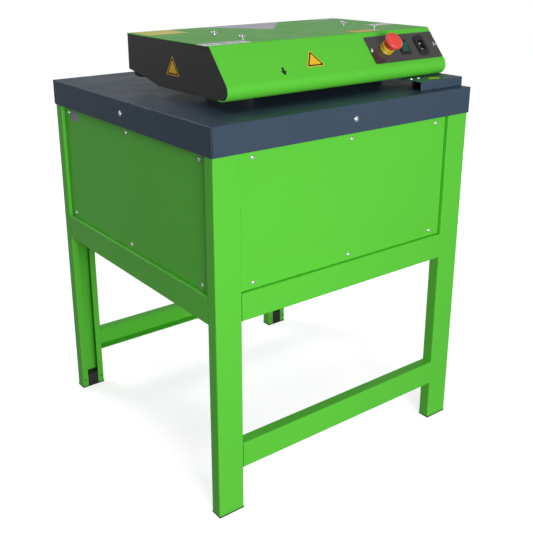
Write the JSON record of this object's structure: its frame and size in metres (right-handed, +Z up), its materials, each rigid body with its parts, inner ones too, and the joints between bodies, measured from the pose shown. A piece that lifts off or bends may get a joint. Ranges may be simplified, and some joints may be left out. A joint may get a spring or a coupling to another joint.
{
  "type": "cardboard perforator",
  "caption": "Floor-standing machine that perforates cardboard into padding: low cutter head with sloped controls on a folded-steel table, closed drive bay and open legs.",
  "frame": {"origin": "on the floor, under the middle of the table", "axes": "+X along the operator's side from left to right, +Y away from the operator, +Z up"},
  "size_m": [0.674, 0.664, 0.9257],
  "materials": {
    "table_paint": "satin powder coat, dark slate",
    "green_paint": "gloss powder coat, bright green",
    "foot_rubber": "matt black",
    "plate_steel": "milled",
    "bearing_steel": "polished",
    "ground_steel": "ground",
    "cutter_steel": "hardened, oiled",
    "chain_steel": "oiled",
    "motor_paint": "dark blue enamel",
    "gearbox_aluminium": "dark blue enamel on a cast housing",
    "black_paint": "satin black powder coat",
    "bolt_chrome": "bright plated",
    "guide_paint": "satin powder coat, dark slate",
    "control_plate_paint": "satin dark brown",
    "yellow_plastic": "moulded",
    "red_plastic": "moulded",
    "black_plastic": "moulded",
    "teal_plastic": "translucent moulded"
  },
  "bodies": {
    "root": {"bearing_lower_left": "bearing_steel", "bearing_lower_right": "bearing_steel", "bearing_plate_left": "plate_steel", "bearing_plate_right": "plate_steel", "bearing_upper_left": "bearing_steel", "bearing_upper_right": "bearing_steel", "bed_comb": "plate_steel", "control_plate": "control_plate_paint", "drive_chain": "chain_steel", "drive_motor": "motor_paint", "estop_collar": "yellow_plastic", "estop_contact_block": "black_plastic", "foot_front_left": "foot_rubber", "foot_front_right": "foot_rubber", "foot_rear_left": "foot_rubber", "foot_rear_right": "foot_rubber", "gearbox": "gearbox_aluminium", "head_base": "black_paint", "hood": "green_paint", "hood_bolt_front_left": "bolt_chrome", "hood_bolt_front_right": "bolt_chrome", "hood_bolt_rear_left": "bolt_chrome", "hood_bolt_rear_right": "bolt_chrome", "leg_front_left": "green_paint", "leg_front_right": "green_paint", "leg_rear_left": "green_paint", "leg_rear_right": "green_paint", "motor_plate": "plate_steel", "panel_front": "green_paint", "panel_left": "green_paint", "panel_rear": "green_paint", "panel_right": "green_paint", "power_inlet": "black_plastic", "rail_front_lower": "green_paint", "rail_front_upper": "green_paint", "rail_left_upper": "green_paint", "rail_rear_lower": "green_paint", "rail_rear_upper": "green_paint", "rail_right_upper": "green_paint", "rear_cover": "black_paint", "rear_pad_left": "foot_rubber", "rear_pad_right": "foot_rubber", "rocker_frame": "black_plastic", "side_cover_left": "black_paint", "side_cover_right": "black_paint", "side_guide": "guide_paint", "table_top": "table_paint", "top_frame": "green_paint", "upper_comb": "plate_steel"},
    "lower_cutter": {"lower_shaft": "ground_steel", "lower_cutter_roller": "cutter_steel", "timing_gear_lower": "ground_steel", "driven_sprocket": "chain_steel"},
    "upper_cutter": {"upper_shaft": "ground_steel", "upper_cutter_roller": "cutter_steel", "timing_gear_upper": "ground_steel"},
    "drive_output": {"drive_sprocket": "chain_steel"},
    "estop_plunger": {"estop_stem": "black_plastic"},
    "estop_head": {"estop_cap": "red_plastic"},
    "rocker": {"rocker_button": "teal_plastic"}
  },
  "joints": [
    {"name": "lower_cutter_spin", "type": "hinge", "parent": "root", "child": "lower_cutter", "pos_m": [0, -0.082, 0.767], "axis": [1, 0, 0], "continuous": true},
    {"name": "upper_cutter_spin", "type": "hinge", "parent": "root", "child": "upper_cutter", "pos_m": [0, -0.082, 0.845], "axis": [1, 0, 0], "continuous": true},
    {"name": "drive_output_spin", "type": "hinge", "parent": "root", "child": "drive_output", "pos_m": [0.28, -0.082, 0.52], "axis": [1, 0, 0], "continuous": true},
    {"name": "estop_press", "type": "slide", "parent": "root", "child": "estop_plunger", "axis": [0, 0.768, -0.6404], "range_m": [0, 0.0045]},
    {"name": "estop_twist", "type": "hinge", "parent": "estop_plunger", "child": "estop_head", "pos_m": [0.172, -0.23507, 0.88402], "axis": [0, -0.768, 0.6404], "range_deg": [-35, 0], "stiffness_Nm_per_rad": 0.05},
    {"name": "rocker_tilt", "type": "hinge", "parent": "root", "child": "rocker", "pos_m": [0.225, -0.23123, 0.88081], "axis": [1, 0, 0], "range_deg": [-20, 0]}
  ],
  "couplings": [
    {"joint": "upper_cutter_spin", "follows": "lower_cutter_spin", "ratio": -1},
    {"joint": "drive_output_spin", "follows": "lower_cutter_spin", "ratio": 1.5}
  ]
}
